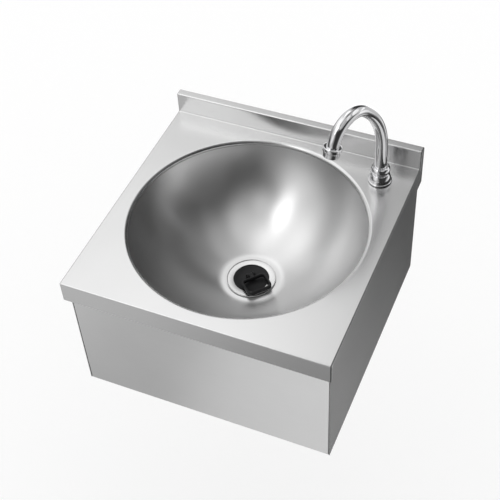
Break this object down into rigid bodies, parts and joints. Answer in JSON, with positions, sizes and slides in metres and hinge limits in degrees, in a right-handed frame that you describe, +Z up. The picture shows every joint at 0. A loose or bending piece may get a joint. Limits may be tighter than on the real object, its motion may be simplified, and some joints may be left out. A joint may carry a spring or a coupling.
{
  "type": "hand wash sink",
  "caption": "Wall-hung stainless steel hand wash sink with a round bowl, swan-neck spout, rubber plug and a knee-pressed front panel.",
  "frame": {"origin": "centre of the four wall-fixing holes, on the wall's face, which is the back panel's rear face", "axes": "+X to the right seen by the user in front of the sink, +Y into the wall, +Z up; the user stands on the -Y side"},
  "size_m": [0.4, 0.4, 0.4126],
  "materials": {
    "sheet_steel": "fine satin brushed sheet",
    "panel_steel": "fine satin brushed sheet",
    "bowl_steel": "polished pressing, softly reflecting",
    "plain_steel": "turned stainless steel",
    "spring_steel": "drawn stainless wire",
    "chrome": "mirror chrome plate",
    "plated_brass": "nickel-plated brass, satin",
    "black_rubber": "moulded matt black rubber",
    "white_plastic": "natural white moulded plastic",
    "grey_plastic": "grey moulded plastic",
    "red_fibre": "pressed red fibre"
  },
  "bodies": {
    "housing": {"deck": "sheet_steel", "bowl": "bowl_steel", "side_panel_left": "sheet_steel", "side_panel_right": "sheet_steel", "back_panel": "sheet_steel", "valve_rail": "sheet_steel", "rest_strips": "black_rubber", "hinge_pins": "plain_steel", "hinge_clips": "plain_steel", "valve_body": "plated_brass", "valve_bonnet": "plated_brass", "valve_lock_nut": "plated_brass", "stem_seal": "black_rubber", "return_spring": "spring_steel", "inlet_manifold": "plated_brass", "check_valves": "white_plastic", "union_nuts": "plated_brass", "union_gaskets": "red_fibre", "supply_tube": "plated_brass", "spout_base": "chrome", "base_seal": "black_rubber", "shank_rubber": "black_rubber", "shank_washer": "plain_steel", "shank_nut": "plated_brass", "swivel_nut": "chrome", "waste_body": "chrome", "waste_upper_seal": "black_rubber", "waste_lower_seal": "black_rubber", "waste_slip_washer": "white_plastic", "waste_back_nut": "white_plastic"},
    "knee": {"knee_panel": "panel_steel", "hinge_bushes": "white_plastic", "knee_pad": "black_rubber"},
    "plunger": {"valve_plunger": "chrome", "valve_disc": "black_rubber", "disc_nut": "plated_brass"},
    "spout": {"spout_tube": "chrome", "spout_seal": "black_rubber", "aerator_housing": "chrome", "aerator_insert": "grey_plastic"},
    "plug": {"plug": "black_rubber", "plug_pin": "plain_steel"},
    "handle": {"plug_handle": "black_rubber"}
  },
  "joints": [
    {"name": "knee_hinge", "type": "hinge", "parent": "housing", "child": "knee", "pos_m": [0, -0.377, 0.108], "axis": [1, 0, 0], "range_deg": [0, 3]},
    {"name": "plunger_slide", "type": "slide", "parent": "housing", "child": "plunger", "axis": [0, 1, 0], "range_m": [0, 0.0084], "stiffness_N_per_m": 450, "springref_m": -0.012, "deforming": ["return_spring"]},
    {"name": "spout_swivel", "type": "hinge", "parent": "housing", "child": "spout", "pos_m": [0.15, -0.053, 0.15], "axis": [0, 0, 1], "range_deg": [-85, 85]},
    {"name": "plug_lift", "type": "slide", "parent": "housing", "child": "plug", "axis": [0, 0, 1], "range_m": [0, 0.08]},
    {"name": "handle_hinge", "type": "hinge", "parent": "plug", "child": "handle", "pos_m": [-0.00111, -0.2015, 0.0089], "axis": [-0.6691, -0.7431, 0], "range_deg": [0, 175]}
  ],
  "couplings": [
    {"joint": "plunger_slide", "follows": "knee_hinge", "m_per_rad": 0.159}
  ]
}
